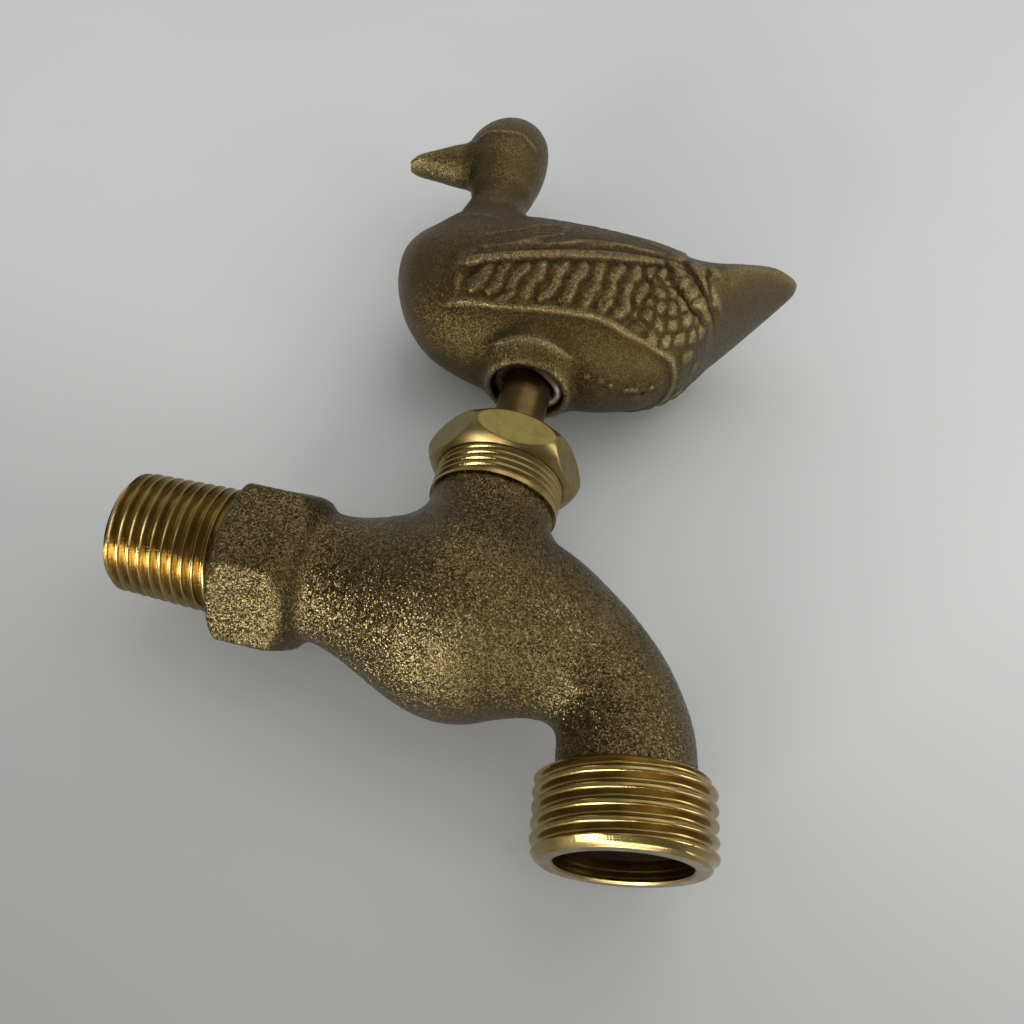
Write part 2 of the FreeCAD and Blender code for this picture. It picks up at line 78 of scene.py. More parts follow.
# Barrel and waterway stations: place, level and radius
barrel_stations = [
    (-28.0, -0.5, 11.1),
    (-21.4, -0.8, 10.8),
    (-13.7, -1.3, 12.4),
    (-1.5, -2.0, 16.8),
    (1.0, -1.5, 17.0),
    (9.4, -1.6, 14.4),
    (16.0, -3.2, 12.2),
    (21.0, -5.6, 10.9),
    (25.4, -9.3, 10.2),
    (28.4, -14.2, 10.2),
    (29.7, -18.9, 10.5),
    (31.1, -29.4, 10.4),
]
waterway_stations = [
    (2.0, 5.2, 6.0),
    (11.0, 3.7, 6.1),
    (18.2, -0.4, 6.3),
    (24.5, -6.3, 6.8),
    (28.3, -13.0, 7.4),
    (30.4, -24.5, 8.3),
    (32.4, -38.7, 8.3),
]


def smooth_line(stations, steps=12):
    """Rows on a smooth line through the stations, with the same number of steps in each span."""
    rows = np.asarray(stations, float)
    rows = np.vstack([2 * rows[0] - rows[1], rows, 2 * rows[-1] - rows[-2]])
    t = np.linspace(0, 1, steps, endpoint=False)[:, None]
    spans = []
    for a, b, c, d in zip(rows, rows[1:], rows[2:], rows[3:]):
        curve = (2 * a - 5 * b + 4 * c - d) * t**2 + (3 * b - a - 3 * c + d) * t**3
        spans.append((2 * b + (c - a) * t + curve) / 2)
    return np.vstack(spans + [rows[-2][None]])


def tube_distance(line, x, y, z):
    """Distance to a round tube whose centre line lies in the middle plane."""
    distance = np.float32(1e3)
    for (px, pz, pr), (dx, dz, dr) in zip(line, np.diff(line, axis=0)):
        t = np.clip(((x - px) * dx + (z - pz) * dz) / (dx * dx + dz * dz), 0, 1)
        gap = (x - px - t * dx) ** 2 + (z - pz - t * dz) ** 2
        distance = np.minimum(distance, np.sqrt(gap + y * y) - (pr + t * dr))
    return distance


def blended(a, b, radius):
    """Two solids joined with a hollow round of that radius along their meeting line."""
    reach = np.hypot(np.maximum(radius - a, 0), np.maximum(radius - b, 0))
    return np.maximum(radius, np.minimum(a, b)) - reach


def trimmed(a, b, radius):
    """What two solids share, with its edges rounded to that radius."""
    reach = np.hypot(np.maximum(radius + a, 0), np.maximum(radius + b, 0))
    return np.minimum(-radius, np.maximum(a, b)) + reach


def surface_of(distance, low, high, step):
    """Points and quads over the surface of a solid given by its signed distance."""
    low = np.asarray(low, np.float32)
    x, y, z = (np.arange(a, b + step, step, dtype=np.float32) for a, b in zip(low, high))
    field = distance(x[:, None, None], y[None, :, None], z[None, None, :]).astype(np.float32)
    inside = field < 0
    size = np.array(field.shape) - 1
    ways = np.eye(3, dtype=int)
    offsets = [(i, j, k) for i in (0, 1) for j in (0, 1) for k in (0, 1)]
    count = sum(
        inside[i : size[0] + i, j : size[1] + j, k : size[2] + k].astype(np.int8)
        for i, j, k in offsets
    )
    cells = np.argwhere((count > 0) & (count < 8))
    number = np.full(size, -1, np.int32)
    number[tuple(cells.T)] = np.arange(len(cells))
    total = np.zeros((len(cells), 3), np.float32)
    crossings = np.zeros(len(cells), np.float32)
    for start in offsets:
        for axis in range(3):
            if start[axis]:
                continue
            along = ways[axis]
            first = field[tuple((cells + start).T)]
            second = field[tuple((cells + start + along).T)]
            crossed = (first < 0) != (second < 0)
            share = first[crossed] / (first[crossed] - second[crossed])
            total[crossed] += np.asarray(start) + share[:, None] * along
            crossings[crossed] += 1
    points = low + (cells + total / crossings[:, None]) * step
    quads = []
    for axis in range(3):
        u, v = ways[(axis + 1) % 3], ways[(axis + 2) % 3]
        first = np.moveaxis(inside, axis, 0)[:-1]
        second = np.moveaxis(inside, axis, 0)[1:]
        edges = np.argwhere(np.moveaxis(first != second, 0, axis))
        edges = edges[((edges > 0) | (ways[axis] > 0)).all(1)]
        edges = edges[(edges < size).all(1)]
        corners = ((1, 1), (0, 1), (0, 0), (1, 0))
        ring = np.stack([number[tuple((edges - u * i - v * j).T)] for i, j in corners], 1)
        outward = inside[tuple(edges.T)]
        quads.append(np.where(outward[:, None], ring, ring[:, ::-1]))
    return points, np.vstack(quads)


def in_scene(name, data):
    """A new object in the scene."""
    made = bpy.data.objects.new(name, data)
    bpy.context.scene.collection.objects.link(made)
    return made


def piece(name, points, faces, materials, body, corner_angle=None):
    """A scene piece from points in millimetres, riding on a body of the construction."""
    mesh = bpy.data.meshes.new(name)
    mesh.from_pydata(np.asarray(points, float) * 0.001 + (stem_axis_x, 0, 0), [], faces)
    mesh.polygons.foreach_set("use_smooth", [True] * len(mesh.polygons))
    if corner_angle is not None:
        mesh.set_sharp_from_angle(angle=math.radians(corner_angle))
    for material in materials:
        mesh.materials.append(material)
    made = in_scene(name, mesh)
    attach(made, body)
    return made


def collar_distance(x, y, z):
    """The hexagon between its two ends, with a cone turned on each. The factors 0.64 and
    0.725 make true distances of the cones' slopes."""
    z = z + collar_drop
    flats = np.abs(y) - collar_half_flats
    for half_y in (np.abs(y) / 2, -np.abs(y) / 2):
        for way in (-1, 1):
            slope = half_y + way * z * math.sqrt(0.75) - collar_half_flats
            flats = trimmed(flats, slope, collar_corner_round)
    reach = np.hypot(y, z)
    front_cone = (reach - collar_front_rim - (x - collar_face) * collar_front_slope) * 0.64
    back_cone = (reach - collar_back_rim - (collar_back - x) * collar_back_slope) * 0.725
    ends = trimmed(collar_face - x, x - collar_back, collar_end_round)
    solid = trimmed(flats, ends, 0.6)
    return trimmed(trimmed(solid, front_cone, collar_end_round), back_cone, 0.6)


barrel_line = smooth_line(barrel_stations, 6).astype(np.float32)
waterway_line = smooth_line(waterway_stations, 5).astype(np.float32)


def casting_distance(x, y, z):
    """Barrel, neck and collar joined with hollow rounds, less the bore and the waterway."""
    barrel = tube_distance(barrel_line, x, y, z)
    cut_end = (x - outlet_centre[0]) * outlet_axis[0] + (z - outlet_centre[2]) * outlet_axis[2]
    barrel = np.maximum(barrel, cut_end + outlet_bore_depth)
    neck = trimmed(np.hypot(x, y) - neck_radius, np.abs(z - neck_top / 2) - neck_top / 2, 0.3)
    solid = blended(barrel, neck, neck_blend)
    solid = blended(solid, collar_distance(x, y, z), collar_blend)
    inlet_bore = np.maximum(np.hypot(y, z) - inlet_bore_radius, x - inlet_bore_end)
    water = np.minimum(inlet_bore, tube_distance(waterway_line, x, y, z))
    return np.maximum(solid, -water)


def feed(tree, node, inputs):
    """Give a node's inputs their values, or other nodes' outputs."""
    for name, value in inputs.items():
        if isinstance(value, bpy.types.NodeSocket):
            tree.links.new(value, node.inputs[name])
        else:
            node.inputs[name].default_value = value


def place(tree, kind, inputs=None, **settings):
    """A new node with its settings and its inputs."""
    made = tree.nodes.new("ShaderNode" + kind)
    for name, value in settings.items():
        setattr(made, name, value)
    feed(tree, made, inputs or {})
    return made


def shared_effect(name, inputs, outputs):
    """An empty node group and its two end nodes. Inputs have defaults and outputs kinds."""
    tree = bpy.data.node_groups.new(name, "ShaderNodeTree")
    for label, value in inputs.items():
        socket = tree.interface.new_socket(label, in_out="INPUT", socket_type="NodeSocketFloat")
        socket.default_value = value
    for label, kind in outputs.items():
        tree.interface.new_socket(label, in_out="OUTPUT", socket_type="NodeSocket" + kind)
    return tree, tree.nodes.new("NodeGroupInput"), tree.nodes.new("NodeGroupOutput")


def finish_of(name):
    """A new material with its tree and its empty surface shader."""
    made = bpy.data.materials.new(name)
    made.use_nodes = True
    tree = made.node_tree
    return made, tree, tree.nodes["Principled BSDF"]


def mixed(tree, factor, first, second):
    """A colour between two colours."""
    return place(tree, "Mix", {0: factor, 6: first, 7: second}, data_type="RGBA").outputs[2]


def varied(tree, value, low=0.0, high=1.0, from_low=0.0, from_high=1.0):
    """A value mapped from one range to another."""
    ends = {"From Min": from_low, "From Max": from_high, "To Min": low, "To Max": high}
    return place(tree, "MapRange", {"Value": value, **ends}).outputs[0]


def soft_spots(tree, per_metre, detail):
    """Noise that stays with the object, as so many spots in a metre."""
    noise = {"Vector": place(tree, "TexCoord").outputs["Object"], "Scale": per_metre}
    return place(tree, "TexNoise", {**noise, "Detail": detail}).outputs["Fac"]


def metal_look(tree, surface, tone, rough, normal):
    """Make a surface bare metal of that colour, roughness and facing."""
    feed(tree, surface, {"Base Color": tone, "Roughness": rough, "Normal": normal, "Metallic": 1.0})


# Sand grain: crowded grains of one size, each with its own facing, so that some catch the light
sand_grain, grain_in, grain_out = shared_effect(
    "sand_grain",
    {"Grains per metre": 4000.0, "Facing": 1.0},
    {"Grain": "Float", "Patch": "Float", "Normal": "Vector"},
)
where = place(sand_grain, "TexCoord").outputs["Object"]
cells = place(
    sand_grain, "TexVoronoi", {"Vector": where, "Scale": grain_in.outputs[0], "Randomness": 1.0}
)
fine = place(sand_grain, "TexNoise", {"Vector": where, "Scale": grain_in.outputs[0], "Detail": 2.0})
patch = soft_spots(sand_grain, 70.0, 3.0)
single = place(sand_grain, "SeparateColor", {"Color": cells.outputs["Color"]}).outputs[0]
plain = place(sand_grain, "NewGeometry").outputs["Normal"]
leaning = cells.outputs["Color"]
for operation, inputs in (
    ("SUBTRACT", {1: (0.5, 0.5, 0.5)}),
    ("SCALE", {"Scale": grain_in.outputs[1]}),
    ("ADD", {1: plain}),
    ("NORMALIZE", {}),
):
    leaning = place(sand_grain, "VectorMath", {0: leaning, **inputs}, operation=operation).outputs[0]
uneven = {"Height": fine.outputs["Fac"], "Distance": 0.00008, "Normal": leaning}
bump = place(sand_grain, "Bump", uneven).outputs[0]
feed(sand_grain, grain_out, {"Grain": single, "Patch": patch, "Normal": bump})

cast_bronze, tree, surface = finish_of("cast_bronze")
grain = place(tree, "Group", {"Grains per metre": 5000.0, "Facing": 0.85}, node_tree=sand_grain)
spread = place(tree, "Math", {0: grain.outputs["Grain"], 1: 1.5}, operation="POWER").outputs[0]
patchy = varied(tree, grain.outputs["Patch"], from_low=0.3, from_high=0.7)
dull = mixed(tree, spread, (0.042, 0.030, 0.010, 1), (0.17, 0.125, 0.053, 1))
fresh = mixed(tree, spread, (0.052, 0.037, 0.013, 1), (0.24, 0.18, 0.082, 1))
tone = mixed(tree, patchy, dull, fresh)
rough = varied(tree, grain.outputs["Grain"], 0.42, 0.26)
metal_look(tree, surface, tone, rough, grain.outputs["Normal"])

casting_low = (-39.2, -18.2, -31.0)
casting_high = (45.0, 18.2, 20.4)
points, quads = surface_of(casting_distance, casting_low, casting_high, casting_grid)
chance = np.random.default_rng(7)
points = points + chance.normal(0, casting_scatter, points.shape)
casting = piece("casting", points, quads, [cast_bronze], "body")
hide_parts("tap_body")

# Threads of the casting: a tapered pipe thread at the inlet, a coarse hose thread at the
# outlet and a fine thread under the cap nut. They are cut on a lathe, so they are bare
# golden brass with fine tool marks.
crest_share = 0.055
root_share = 0.48


def round_axis(radius, angle, level, origin=tap_centre, axis=upwards):
    """Points round an axis, the stem's unless another is given, with the angle taken from
    the camera's side."""
    axis = np.asarray(axis, float)
    start = np.array([0.0, -1.0, 0.0])
    side = np.cross(axis, start)
    radius, angle, level = np.broadcast_arrays(radius, angle, level)
    across = np.cos(angle)[..., None] * start + np.sin(angle)[..., None] * side
    return np.asarray(origin, float) + radius[..., None] * across + level[..., None] * axis


def round_turn(segments):
    """Angles of the lines of points round an axis, as one column."""
    return np.arange(segments)[:, None] * 2 * math.pi / segments


def wrapped_skin(points, along, seam_rows=0):
    """Points, faces and map of a skin over lines of points round an axis. At the seam the
    last line joins the first one seam_rows further along, as the turns of a thread do."""
    segments, rows = points.shape[:2]
    i, j = np.meshgrid(np.arange(segments), np.arange(rows - 1), indexing="ij")
    at_seam = i == segments - 1
    following = np.where(at_seam, 0, i + 1)
    across = np.where(at_seam, j + seam_rows, j)
    keep = (across + 1 < rows).ravel()
    corners = [i * rows + j, following * rows + across, following * rows + across + 1]
    faces = np.stack([*corners, i * rows + j + 1], -1).reshape(-1, 4)[keep]
    around = np.stack([i, i + 1, i + 1, i], -1).reshape(-1, 4)[keep] / segments
    along = np.broadcast_to(along, (segments, rows)).ravel()
    return points.reshape(-1, 3), faces, np.stack([around, along[faces]], -1)


def turned_rings(profile, origin=tap_centre, axis=upwards, segments=192):
    """A lathe-turned skin through a line of (radius, level) corners, with its map."""
    radius, level = np.asarray(profile, float).T
    points = round_axis(radius, round_turn(segments), level, origin, axis)
    run = np.concatenate([[0], np.cumsum(np.hypot(np.diff(radius), np.diff(level)))])
    return wrapped_skin(points, run)


def thread_rings(pitch, first_crest, ends, radius_at, origin, axis, rounding=0.25, segments=240):
    """A screw thread between two levels. radius_at takes the level, the share of the way
    from crest to root and the level of the nearest groove. Rounding 0 leaves plain flanks."""
    start, end = ends
    share = np.array([0, crest_share, 0.09, 0.14, 0.21, 0.28, 0.35, 0.41, 0.45, root_share])
    offsets = np.concatenate([share, [0.5], 1 - share[:0:-1]])
    first = math.floor((start - first_crest) / pitch) - 1
    last = math.ceil((end - first_crest) / pitch) + 1
    turns = np.arange(first, last)
    line = (turns[:, None] + offsets[None, :]).ravel()
    away = np.abs((line + 0.5) % 1 - 0.5)
    groove = np.floor(line) + 0.5
    angle = round_turn(segments)
    lead = first_crest + pitch * angle / (2 * math.pi)
    level = np.clip(lead + pitch * line, start, end)
    depth_share = np.clip((away - crest_share) / (root_share - crest_share), 0, 1)
    depth_share = depth_share - rounding * np.sin(2 * math.pi * depth_share) / (2 * math.pi)
    radius = radius_at(level, depth_share, lead + pitch * groove)
    return wrapped_skin(round_axis(radius, angle, level, origin, axis), level, len(offsets))


def turned_piece(name, parts, materials, body, corner_angle=35):
    """One piece from several turned skins, with its points merged and its map laid on."""
    points, faces, maps = zip(*parts)
    shifts = np.cumsum([0] + [len(part_points) for part_points in points])
    faces = [part_faces + shift for part_faces, shift in zip(faces, shifts)]
    made = piece(name, np.vstack(points), np.vstack(faces), materials, body)
    layer = made.data.uv_layers.new(name="around_and_along")
    layer.data.foreach_set("uv", np.vstack(maps).ravel())
    work = bmesh.new()
    work.from_mesh(made.data)
    bmesh.ops.remove_doubles(work, verts=work.verts, dist=2e-6)
    bmesh.ops.dissolve_degenerate(work, edges=work.edges, dist=1e-6)
    work.to_mesh(made.data)
    work.free()
    made.data.set_sharp_from_angle(angle=math.radians(corner_angle))
    return made


def stretched_noise(tree, where, stretch, detail):
    """Noise drawn out by a factor along each way of the map."""
    scaled = place(tree, "VectorMath", {0: where, 1: stretch}, operation="MULTIPLY").outputs[0]
    noise = {"Vector": scaled, "Scale": 1.0, "Detail": detail}
    return place(tree, "TexNoise", noise).outputs["Fac"]


# Lathe marks: fine rings that follow the tool round a turned surface
lathe_marks, marks_in, marks_out = shared_effect(
    "lathe_marks",
    {"Rings per millimetre": 6.0, "Around": 3.0, "Chatter": 0.5},
    {"Height": "Float", "Stain": "Float"},
)
unrolled = place(lathe_marks, "TexCoord").outputs["UV"]
counts = {"X": marks_in.outputs["Around"], "Y": marks_in.outputs["Rings per millimetre"], "Z": 1.0}
stretch = place(lathe_marks, "CombineXYZ", counts).outputs[0]
rings = stretched_noise(lathe_marks, unrolled, stretch, 3.0)
tick_stretch = (430.0, 0.35, 1.0)
ticks = stretched_noise(lathe_marks, unrolled, tick_stretch, 1.0)
chatter = marks_in.outputs["Chatter"]
both = place(lathe_marks, "Math", {0: ticks, 1: chatter, 2: rings}, operation="MULTIPLY_ADD")
stain = soft_spots(lathe_marks, 260.0, 4.0)
feed(lathe_marks, marks_out, {"Height": both.outputs[0], "Stain": stain})


def turned_metal(name, clean, stained, roughness, rings_per_mm, mark_depth, chatter=0.3):
    """A turned metal finish: two tones, fine rings and a roughness that varies a little."""
    made, tree, surface = finish_of(name)
    cut = {"Rings per millimetre": rings_per_mm, "Chatter": chatter}
    marks = place(tree, "Group", cut, node_tree=lathe_marks)
    share = varied(tree, marks.outputs["Stain"], from_low=0.35, from_high=0.7)
    ridges = {"Height": marks.outputs["Height"], "Strength": 0.5, "Distance": mark_depth}
    bump = place(tree, "Bump", ridges).outputs[0]
    rough = varied(tree, share, roughness * 0.85, roughness * 1.25)
    metal_look(tree, surface, mixed(tree, share, clean, stained), rough, bump)
    return made


def spotted(name, per_metre, detail, first, second, **settings):
    """A finish of two tones in soft spots, with the surface's other settings."""
    made, tree, surface = finish_of(name)
    tone = mixed(tree, soft_spots(tree, per_metre, detail), first, second)
    feed(tree, surface, {"Base Color": tone, **settings})
    return made


cut_brass = turned_metal(
    "cut_brass", (0.38, 0.275, 0.105, 1), (0.24, 0.165, 0.055, 1), 0.20, 7.0, 0.00004, 1.1
)

inlet_end_x = -57.4
inlet_pitch = 1.8143
inlet_crest = -56.6
inlet_depth = 1.15
inlet_end_radius = 9.12
inlet_middle_x = -47.5
inlet_middle_radius = 10.36
taper_per_side = 32


def inlet_radius_at(level, depth_share, groove):
    """The tapered thread, shallower at the collar, with a cone at its open end."""
    crest = inlet_middle_radius + (level - inlet_middle_x) / taper_per_side
    runout = np.clip((collar_face + 0.2 - groove) / 1.6, 0.25, 1)
    cut = crest - inlet_depth * depth_share * runout
    return np.minimum(cut, inlet_end_radius + (level - inlet_end_x) * 1.1)


inlet_ends = (inlet_end_x, collar_face + 0.6)
inlet_skin = thread_rings(
    inlet_pitch, inlet_crest, inlet_ends, inlet_radius_at, tap_centre, inlet_way
)
inlet_mouth = turned_rings(
    [
        (inlet_bore_radius, collar_face + 3),
        (inlet_bore_radius, inlet_end_x + 0.5),
        (inlet_bore_radius + 0.5, inlet_end_x),
        (inlet_end_radius - 0.15, inlet_end_x),
        (inlet_end_radius, inlet_end_x),
    ],
    tap_centre,
    inlet_way,
)
inlet_thread = turned_piece("inlet_thread", [inlet_skin, inlet_mouth], [cut_brass], "body")

hose_pitch = 2.2088
hose_crest = -3.52
hose_length = 12.2
hose_depth = 1.2
hose_crest_radius = 13.42
hose_face_radius = 12.0
hose_shoulder_radius = 12.5
hose_bore_radius = 9.92


def hose_radius_at(level, depth_share, groove):
    """The hose thread, with two cones at its face and one at its shoulder."""
    fade = np.clip((-0.1 - groove) / 0.5, 0, 1)
    cut = hose_crest_radius - hose_depth * depth_share * fade
    face_cone = np.minimum(hose_face_radius - level * 1.4, 12.3 - level * 0.80)
    top_cone = hose_shoulder_radius + (level + hose_length) * 1.3
    return np.minimum(np.minimum(cut, face_cone), top_cone)


hose_ends = (-hose_length, 0.0)
hose_skin = thread_rings(
    hose_pitch, hose_crest, hose_ends, hose_radius_at, outlet_centre, outlet_axis, 0.8
)
machined_depth = 3.3
first_ring = 0.3
ring_count = 15
ring_span = machined_depth - first_ring
boring_rings = [
    (hose_bore_radius + chance.uniform(0, 0.05), -first_ring - ring * ring_span / (ring_count - 1))
    for ring in range(ring_count)
]
hose_mouth = turned_rings(
    [
        (hose_face_radius, 0.0),
        (hose_face_radius - 0.1, 0.0),
        (hose_bore_radius + 0.3, 0.0),
        *boring_rings,
        (hose_bore_radius - 0.02, -machined_depth - 0.1),
        (hose_bore_radius - 0.02, -outlet_bore_depth),
        (8.6, -outlet_bore_depth),
    ],
    outlet_centre,
    outlet_axis,
)
shoulder_radii = (9.9, 12.4, hose_shoulder_radius)
hose_shoulder = turned_rings(
    [(radius, -hose_length) for radius in shoulder_radii], outlet_centre, outlet_axis
)
# Deep in the outlet's bore the wall is near-black: dark cast scale, and painted shade for the dark
# deep inside the bore
scale_and_shade_dark = (0.004, 0.003, 0.002, 1)
scale_and_shade_pale = (0.020, 0.014, 0.008, 1)
dull_skin = {"Roughness": 0.9, "Specular IOR Level": 0.05}
bore_scale_and_shade = spotted("bore_scale_and_shade", 900.0, 4.0, scale_and_shade_dark, scale_and_shade_pale, **dull_skin)
hose_thread = turned_piece(
    "hose_thread", [hose_skin, hose_mouth, hose_shoulder], [cut_brass, bore_scale_and_shade], "body"
)
# Faces past the machined rings take the near-black bore finish, which is partly painted shade
for polygon in hose_thread.data.polygons:
    spot = np.array(polygon.center) * 1000 - (stem_axis_x * 1000, 0, 0) - outlet_centre
    depth = spot @ outlet_axis
    if depth < -machined_depth and np.linalg.norm(spot - depth * outlet_axis) < 10.2:
        polygon.material_index = 1

neck_thread_foot = 19.07
neck_thread_top = 29.0
neck_pitch = 1.25
neck_crest = 19.7
neck_crest_radius = 11.28
neck_depth = 0.55
packing_room_radius = 8.7
packing_room_foot = 25.0
stem_room_radius = 7.6


def neck_radius_at(level, depth_share, groove):
    """The neck's thread, which runs out at the neck's shoulder."""
    runout = np.clip((groove - neck_top) / 0.5, 0, 1)
    return neck_crest_radius - neck_depth * depth_share * runout


neck_span = (neck_thread_foot, neck_thread_top)
neck_skin = thread_rings(neck_pitch, neck_crest, neck_span, neck_radius_at, tap_centre, upwards)
neck_foot_ring = [(9.8, neck_thread_foot), (neck_crest_radius, neck_thread_foot)]
neck_inside = [
    (neck_crest_radius, neck_thread_top),
    (packing_room_radius, neck_thread_top),
    (packing_room_radius, packing_room_foot),
    (stem_room_radius, packing_room_foot),
    (stem_room_radius, 2.0),
]
neck_ends = [turned_rings(line) for line in (neck_foot_ring, neck_inside)]
neck_thread = turned_piece("neck_thread", [neck_skin, *neck_ends], [cut_brass], "body")

# Cap nut: turned from brass bar to a barrel, then milled with six flats that end as
# ovals. It screws down on the neck and squeezes the packing.
nut_foot = 24.8
nut_rim = 31.5
nut_top = 33.2
nut_half_flats = 12.3
nut_turn = math.radians(7.6)
nut_barrel_radius = 14.0
nut_barrel_level = 28.4
nut_barrel_half_height = 6.4
nut_levels = np.linspace(nut_foot, nut_rim + 0.15, 72)
nut_segments = 540
nut_thread_radius = 11.1
nut_hole_radius = 4.95


def off_flat(angle):
    """Angle to the middle of the nearest of the six flats."""
    return (angle - nut_turn + math.pi / 6) % (math.pi / 3) - math.pi / 6


turned_brass = turned_metal(
    "turned_brass", (0.30, 0.225, 0.09, 1), (0.20, 0.145, 0.05, 1), 0.30, 9.0, 0.00002
)
milled_flat, tree, surface = finish_of("milled_flat")
across = place(tree, "TexCoord").outputs["UV"]
stroke_stretch = (620.0, 1.1, 1.0)
strokes = stretched_noise(tree, across, stroke_stretch, 4.0)
share = varied(tree, soft_spots(tree, 420.0, 5.0), from_low=0.4, from_high=0.75)
tone = mixed(tree, share, (0.22, 0.175, 0.055, 1), (0.16, 0.12, 0.036, 1))
streak = varied(tree, strokes, from_low=0.55, from_high=0.8)
tone = mixed(tree, streak, tone, (0.13, 0.095, 0.03, 1))
bump = place(tree, "Bump", {"Height": strokes, "Strength": 0.6, "Distance": 0.00003}).outputs[0]
metal_look(tree, surface, tone, 0.42, bump)

nut_angle = round_turn(nut_segments)
from_middle = (nut_levels - nut_barrel_level) / nut_barrel_half_height
barrel_radius = nut_barrel_radius * np.sqrt(1 - from_middle**2)
nut_reach = np.minimum(barrel_radius, nut_half_flats / np.cos(off_flat(nut_angle)))
nut_side = wrapped_skin(round_axis(nut_reach, nut_angle, nut_levels), nut_levels)
nut_top_skin = turned_rings(
    [
        (barrel_radius[-1], nut_levels[-1]),
        (11.6, 32.15),
        (10.3, nut_top - 0.25),
        (9.9, nut_top),
        (5.2, nut_top),
        (nut_hole_radius, nut_top - 0.3),
        (nut_hole_radius, nut_top - 2.3),
    ],
    segments=nut_segments,
)
nut_thread_room = [(nut_thread_radius, nut_foot + 4.0), (nut_thread_radius, nut_foot)]
nut_under = turned_rings([*nut_thread_room, (barrel_radius[0], nut_foot)], segments=nut_segments)
cap_nut = turned_piece(
    "cap_nut", [nut_side, nut_top_skin, nut_under], [turned_brass, milled_flat], "body", 30
)
for polygon in cap_nut.data.polygons:
    centre = polygon.center
    x, y, z = (centre.x - stem_axis_x) * 1000, centre.y * 1000, centre.z * 1000
    if z > nut_rim or z < nut_foot + 0.05:
        continue
    off = off_flat(math.atan2(x, -y))
    if abs(math.hypot(x, y) * math.cos(off) - nut_half_flats) < 0.03:
        polygon.material_index = 1
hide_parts("cap_nut")

# Stem: a turned brass spindle. Its coarse screw is hidden in the neck and only the plain
# shaft shows between the nut and the duck.
stem_brass = turned_metal(
    "stem_brass", (0.125, 0.085, 0.030, 1), (0.08, 0.052, 0.017, 1), 0.34, 3.0, 0.00002
)
stem_radius = 4.7
stem_foot = 5.7
stem_top = 62.0
screw_crest_radius = 7.5
stem_wave = 0.012
stem_levels = np.concatenate([np.linspace(18.0, 46.0, 60), np.linspace(46.4, stem_top, 20)])
stem_profile = [
    (0.0, stem_foot),
    (6.7, stem_foot),
    (screw_crest_radius, 6.5),
    (screw_crest_radius, 16.4),
    (6.7, 17.2),
    (stem_radius, 17.2),
]
for level in stem_levels[:-1]:
    stem_profile.append((stem_radius + stem_wave * math.sin(level * 4.1), level))
stem_profile += [(stem_radius - 0.8, stem_top), (0.0, stem_top)]
stem_skin = turned_rings(stem_profile, segments=128)
stem = turned_piece("stem_shaft", [stem_skin], [stem_brass], "handle")
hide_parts("stem")

# Inner pieces: brass packing washer, gland ring and valve parts, the graphited packing
# rope and the rubber seat washer. They stay as the construction draws them.
packing_rope, tree, surface = finish_of("packing_rope")
where = place(tree, "TexCoord").outputs["Object"]
strands = place(tree, "TexWave", {"Vector": where, "Scale": 900.0, "Distortion": 3.0})
tone = mixed(tree, strands.outputs["Fac"], (0.03, 0.03, 0.03, 1), (0.12, 0.12, 0.115, 1))
bump = place(tree, "Bump", {"Height": strands.outputs["Fac"], "Distance": 0.0002}).outputs[0]
feed(tree, surface, {"Base Color": tone, "Normal": bump, "Roughness": 0.8})

rubber_black = (0.02, 0.02, 0.02, 1)
rubber_dust = (0.07, 0.068, 0.065, 1)
seat_rubber = spotted("seat_rubber", 600.0, 4.0, rubber_black, rubber_dust, Roughness=0.6)

bright_brass = (0.60, 0.44, 0.18, 1)
brown_brass = (0.36, 0.25, 0.09, 1)
inner_look = {"Metallic": 1.0, "Roughness": 0.32}
inner_brass = spotted("inner_brass", 300.0, 5.0, bright_brass, brown_brass, **inner_look)
inner_finishes = {
    "packing_washer": inner_brass,
    "packing_ring": packing_rope,
    "gland_ring": inner_brass,
    "jumper": inner_brass,
    "seat_washer": seat_rubber,
    "washer_nut": inner_brass,
}
for node_name, material in inner_finishes.items():
    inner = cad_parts[node_name]
    inner.data.materials.clear()
    inner.data.materials.append(material)

# Duck: the handle, a solid bronze casting with a boss underneath that takes the stem.
# Its wings carry feather scales, its back carries long feathers and its tail is smooth.
duck_grid = 0.34
duck_scatter = 0.012
boss_foot = 46.3
boss_foot_radius = 8.0
socket_radius = 7.0
socket_top = 50.9
# Body stations: place, top level, bottom level, half width
body_stations = [
    (-32.2, 74.6, 70.4, 2.2),
    (-30.8, 78.1, 65.2, 6.0),
    (-27.0, 82.1, 58.4, 9.8),
    (-20.0, 86.3, 52.0, 12.8),
    (-8.0, 87.7, 48.0, 14.8),
    (5.0, 87.8, 47.3, 15.2),
    (17.0, 86.8, 49.5, 14.8),
    (27.0, 83.7, 56.0, 14.0),
    (35.0, 82.9, 69.4, 12.6),
    (42.0, 86.0, 79.4, 8.4),
    (47.0, 88.0, 85.4, 3.4),
    (48.4, 88.2, 87.0, 1.2),
]
# Head stations: level, place, half length, half width
head_stations = [
    (82.0, -15.5, 10.5, 9.0),
    (90.0, -16.6, 7.8, 7.2),
    (96.0, -17.4, 6.2, 5.9),
    (101.5, -17.8, 7.4, 6.4),
    (107.5, -18.8, 9.1, 7.7),
    (113.0, -19.2, 9.4, 7.9),
    (118.3, -19.0, 8.1, 6.7),
    (122.2, -18.8, 5.3, 4.4),
    (123.9, -18.8, 1.8, 1.5),
]
# Bill stations: place, level, half height, half width
bill_stations = [
    (-39.6, 104.4, 0.8, 1.5),
    (-37.6, 105.2, 1.6, 2.9),
    (-34.0, 106.3, 3.0, 3.7),
    (-29.5, 107.5, 4.8, 4.6),
    (-23.0, 108.7, 6.0, 5.6),
]
body_line = smooth_line(body_stations)
head_line = smooth_line(head_stations)
bill_line = smooth_line(bill_stations)


